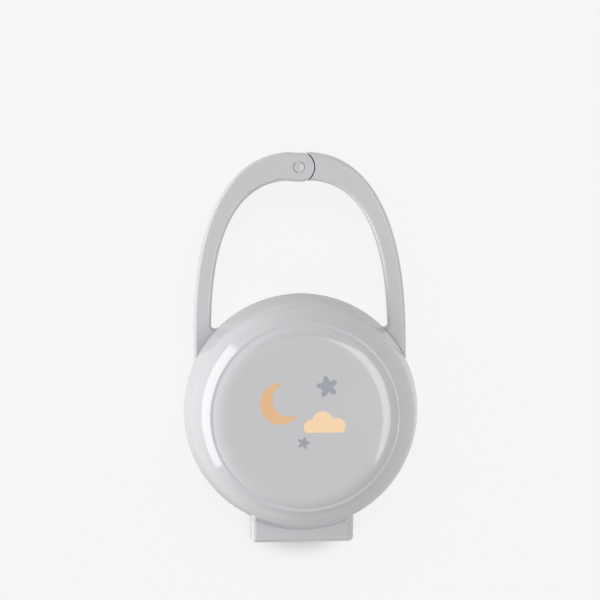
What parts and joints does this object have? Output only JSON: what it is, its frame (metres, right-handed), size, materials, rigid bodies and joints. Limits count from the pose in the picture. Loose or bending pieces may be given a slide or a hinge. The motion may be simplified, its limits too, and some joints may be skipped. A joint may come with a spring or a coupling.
{
  "type": "pacifier case",
  "caption": "Round hinged pacifier case with a ringed lid and a tall carrying loop whose one arm swings out as a gate.",
  "frame": {"origin": "middle of the flat back face that the closed case rests on", "axes": "+Z from the back face to the front of the lid, +Y towards the top of the handle, +X towards the swinging arm"},
  "size_m": [0.072, 0.1199, 0.046],
  "materials": {
    "shell": "moulded polypropylene, soft gloss, light cool grey",
    "lid": "moulded polypropylene, soft gloss, light cool grey",
    "gate": "moulded polypropylene, soft gloss, light cool grey",
    "pin": "moulded pin, soft gloss, slightly lighter grey",
    "steel": "drawn steel wire"
  },
  "bodies": {
    "base": {"base_shell": "shell", "pivot_pin": "pin", "hinge_pin": "steel"},
    "lid": {"lid_shell": "lid"},
    "gate": {"gate_arm": "gate"}
  },
  "joints": [
    {"name": "lid_hinge", "type": "hinge", "parent": "base", "child": "lid", "pos_m": [0, -0.0379, 0.023], "axis": [1, 0, 0], "range_deg": [0, 180]},
    {"name": "gate_swing", "type": "hinge", "parent": "base", "child": "gate", "pos_m": [0, 0.07475, 0.0195], "axis": [0, 0, 1], "range_deg": [0, 45]}
  ]
}
